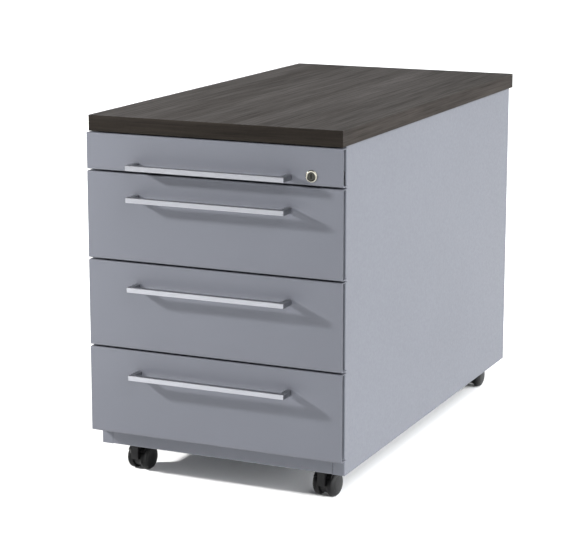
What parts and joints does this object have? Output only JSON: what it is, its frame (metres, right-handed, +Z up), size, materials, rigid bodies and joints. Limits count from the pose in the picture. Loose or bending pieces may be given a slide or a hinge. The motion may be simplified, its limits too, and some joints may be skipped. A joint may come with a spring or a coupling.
{
  "type": "rolling pedestal cabinet",
  "caption": "Rolling under-desk pedestal in folded sheet steel with a dark wood-grain top, sliding drawers with bow handles, a central lock and twin-wheel casters.",
  "frame": {"origin": "on the floor under the centre of the whole cabinet, handles included", "axes": "+Z up, +X to the right of someone facing the drawers, +Y from the drawer fronts to the back"},
  "size_m": [0.43, 0.833, 0.585],
  "materials": {
    "top_board": "dark brown-grey wood-grain laminate on board, satin",
    "front_paint": "silver-grey powder coat, satin",
    "carcass_paint": "silver-grey powder coat, satin",
    "tray_paint": "silver-grey powder coat, satin, inside the drawers",
    "handle_metal": "satin silver metal",
    "zinc_steel": "bright zinc plate",
    "lock_nickel": "bright nickel plate",
    "insert_plastic": "fine-grained black moulded plastic",
    "caster_plastic": "black moulded nylon",
    "wheel_plastic": "black moulded nylon tread"
  },
  "bodies": {
    "cabinet": {"top_panel": "top_board", "top_screws": "zinc_steel", "side_panel_left": "carcass_paint", "side_panel_right": "carcass_paint", "back_panel": "carcass_paint", "base_pan": "carcass_paint", "bottom_front_rail": "carcass_paint", "top_rail_front": "carcass_paint", "top_rail_rear": "carcass_paint", "runner_uprights": "zinc_steel", "runner_outer_channels": "zinc_steel", "lock_bar_guides": "zinc_steel", "caster_plates": "zinc_steel", "caster_pins": "zinc_steel", "caster_screws": "zinc_steel"},
    "drawer_1": {"drawer_1_front": "front_paint", "drawer_1_tray": "tray_paint", "drawer_1_handle": "handle_metal", "drawer_1_handle_screws": "zinc_steel", "drawer_1_runner_inner": "zinc_steel", "pen_tray": "insert_plastic", "lock_housing": "lock_nickel"},
    "runner_1_middle": {"drawer_1_runner_middle": "zinc_steel"},
    "drawer_2": {"drawer_2_front": "front_paint", "drawer_2_tray": "tray_paint", "drawer_2_handle": "handle_metal", "drawer_2_handle_screws": "zinc_steel", "drawer_2_runner_inner": "zinc_steel"},
    "runner_2_middle": {"drawer_2_runner_middle": "zinc_steel"},
    "drawer_3": {"drawer_3_front": "front_paint", "drawer_3_tray": "tray_paint", "drawer_3_handle": "handle_metal", "drawer_3_handle_screws": "zinc_steel", "drawer_3_runner_inner": "zinc_steel"},
    "runner_3_middle": {"drawer_3_runner_middle": "zinc_steel"},
    "drawer_4": {"drawer_4_front": "front_paint", "drawer_4_tray": "tray_paint", "drawer_4_handle": "handle_metal", "drawer_4_handle_screws": "zinc_steel", "drawer_4_runner_inner": "zinc_steel"},
    "runner_4_middle": {"drawer_4_runner_middle": "zinc_steel"},
    "lock_core": {"lock_core": "lock_nickel", "lock_cam": "zinc_steel"},
    "lock_bar": {"lock_bar": "zinc_steel"},
    "caster_front_left": {"caster_front_left_housing": "caster_plastic", "caster_front_left_axle": "zinc_steel"},
    "caster_front_left_wheel_left": {"caster_front_left_wheel_left": "wheel_plastic"},
    "caster_front_left_wheel_right": {"caster_front_left_wheel_right": "wheel_plastic"},
    "caster_front_right": {"caster_front_right_housing": "caster_plastic", "caster_front_right_axle": "zinc_steel"},
    "caster_front_right_wheel_left": {"caster_front_right_wheel_left": "wheel_plastic"},
    "caster_front_right_wheel_right": {"caster_front_right_wheel_right": "wheel_plastic"},
    "caster_rear_left": {"caster_rear_left_housing": "caster_plastic", "caster_rear_left_axle": "zinc_steel"},
    "caster_rear_left_wheel_left": {"caster_rear_left_wheel_left": "wheel_plastic"},
    "caster_rear_left_wheel_right": {"caster_rear_left_wheel_right": "wheel_plastic"},
    "caster_rear_right": {"caster_rear_right_housing": "caster_plastic", "caster_rear_right_axle": "zinc_steel"},
    "caster_rear_right_wheel_left": {"caster_rear_right_wheel_left": "wheel_plastic"},
    "caster_rear_right_wheel_right": {"caster_rear_right_wheel_right": "wheel_plastic"}
  },
  "joints": [
    {"name": "drawer_1_slide", "type": "slide", "parent": "cabinet", "child": "drawer_1", "axis": [0, -1, 0], "range_m": [0, 0.64]},
    {"name": "runner_1_middle_slide", "type": "slide", "parent": "cabinet", "child": "runner_1_middle", "axis": [0, -1, 0], "range_m": [0, 0.32]},
    {"name": "drawer_2_slide", "type": "slide", "parent": "cabinet", "child": "drawer_2", "axis": [0, -1, 0], "range_m": [0, 0.64]},
    {"name": "runner_2_middle_slide", "type": "slide", "parent": "cabinet", "child": "runner_2_middle", "axis": [0, -1, 0], "range_m": [0, 0.32]},
    {"name": "drawer_3_slide", "type": "slide", "parent": "cabinet", "child": "drawer_3", "axis": [0, -1, 0], "range_m": [0, 0.64]},
    {"name": "runner_3_middle_slide", "type": "slide", "parent": "cabinet", "child": "runner_3_middle", "axis": [0, -1, 0], "range_m": [0, 0.32]},
    {"name": "drawer_4_slide", "type": "slide", "parent": "cabinet", "child": "drawer_4", "axis": [0, -1, 0], "range_m": [0, 0.64]},
    {"name": "runner_4_middle_slide", "type": "slide", "parent": "cabinet", "child": "runner_4_middle", "axis": [0, -1, 0], "range_m": [0, 0.32]},
    {"name": "lock_turn", "type": "hinge", "parent": "drawer_1", "child": "lock_core", "pos_m": [0.164, -0.3865, 0.515], "axis": [0, 1, 0], "range_deg": [0, 90]},
    {"name": "lock_bar_slide", "type": "slide", "parent": "cabinet", "child": "lock_bar", "axis": [0, 0, -1], "range_m": [0, 0.01]},
    {"name": "caster_front_left_swivel", "type": "hinge", "parent": "cabinet", "child": "caster_front_left", "pos_m": [-0.17, -0.32, 0.04], "axis": [0, 0, 1], "continuous": true},
    {"name": "caster_front_left_wheel_left_roll", "type": "hinge", "parent": "caster_front_left", "child": "caster_front_left_wheel_left", "pos_m": [-0.16829, -0.3061, 0.02], "axis": [0.9925, -0.1219, 0], "continuous": true},
    {"name": "caster_front_left_wheel_right_roll", "type": "hinge", "parent": "caster_front_left", "child": "caster_front_left_wheel_right", "pos_m": [-0.16829, -0.3061, 0.02], "axis": [0.9925, -0.1219, 0], "continuous": true},
    {"name": "caster_front_right_swivel", "type": "hinge", "parent": "cabinet", "child": "caster_front_right", "pos_m": [0.157, -0.32, 0.04], "axis": [0, 0, 1], "continuous": true},
    {"name": "caster_front_right_wheel_left_roll", "type": "hinge", "parent": "caster_front_right", "child": "caster_front_right_wheel_left", "pos_m": [0.15822, -0.30605, 0.02], "axis": [0.9962, -0.0872, 0], "continuous": true},
    {"name": "caster_front_right_wheel_right_roll", "type": "hinge", "parent": "caster_front_right", "child": "caster_front_right_wheel_right", "pos_m": [0.15822, -0.30605, 0.02], "axis": [0.9962, -0.0872, 0], "continuous": true},
    {"name": "caster_rear_left_swivel", "type": "hinge", "parent": "cabinet", "child": "caster_rear_left", "pos_m": [-0.17, 0.372, 0.04], "axis": [0, 0, 1], "continuous": true},
    {"name": "caster_rear_left_wheel_left_roll", "type": "hinge", "parent": "caster_rear_left", "child": "caster_rear_left_wheel_left", "pos_m": [-0.17098, 0.38597, 0.02], "axis": [0.9976, 0.0698, 0], "continuous": true},
    {"name": "caster_rear_left_wheel_right_roll", "type": "hinge", "parent": "caster_rear_left", "child": "caster_rear_left_wheel_right", "pos_m": [-0.17098, 0.38597, 0.02], "axis": [0.9976, 0.0698, 0], "continuous": true},
    {"name": "caster_rear_right_swivel", "type": "hinge", "parent": "cabinet", "child": "caster_rear_right", "pos_m": [0.157, 0.372, 0.04], "axis": [0, 0, 1], "continuous": true},
    {"name": "caster_rear_right_wheel_left_roll", "type": "hinge", "parent": "caster_rear_right", "child": "caster_rear_right_wheel_left", "pos_m": [0.15773, 0.38598, 0.02], "axis": [0.9986, -0.0523, 0], "continuous": true},
    {"name": "caster_rear_right_wheel_right_roll", "type": "hinge", "parent": "caster_rear_right", "child": "caster_rear_right_wheel_right", "pos_m": [0.15773, 0.38598, 0.02], "axis": [0.9986, -0.0523, 0], "continuous": true}
  ],
  "couplings": [
    {"joint": "runner_1_middle_slide", "follows": "drawer_1_slide", "ratio": 0.5},
    {"joint": "runner_2_middle_slide", "follows": "drawer_2_slide", "ratio": 0.5},
    {"joint": "runner_3_middle_slide", "follows": "drawer_3_slide", "ratio": 0.5},
    {"joint": "runner_4_middle_slide", "follows": "drawer_4_slide", "ratio": 0.5},
    {"joint": "lock_turn", "follows": "lock_bar_slide", "rad_per_m": 157.08}
  ]
}
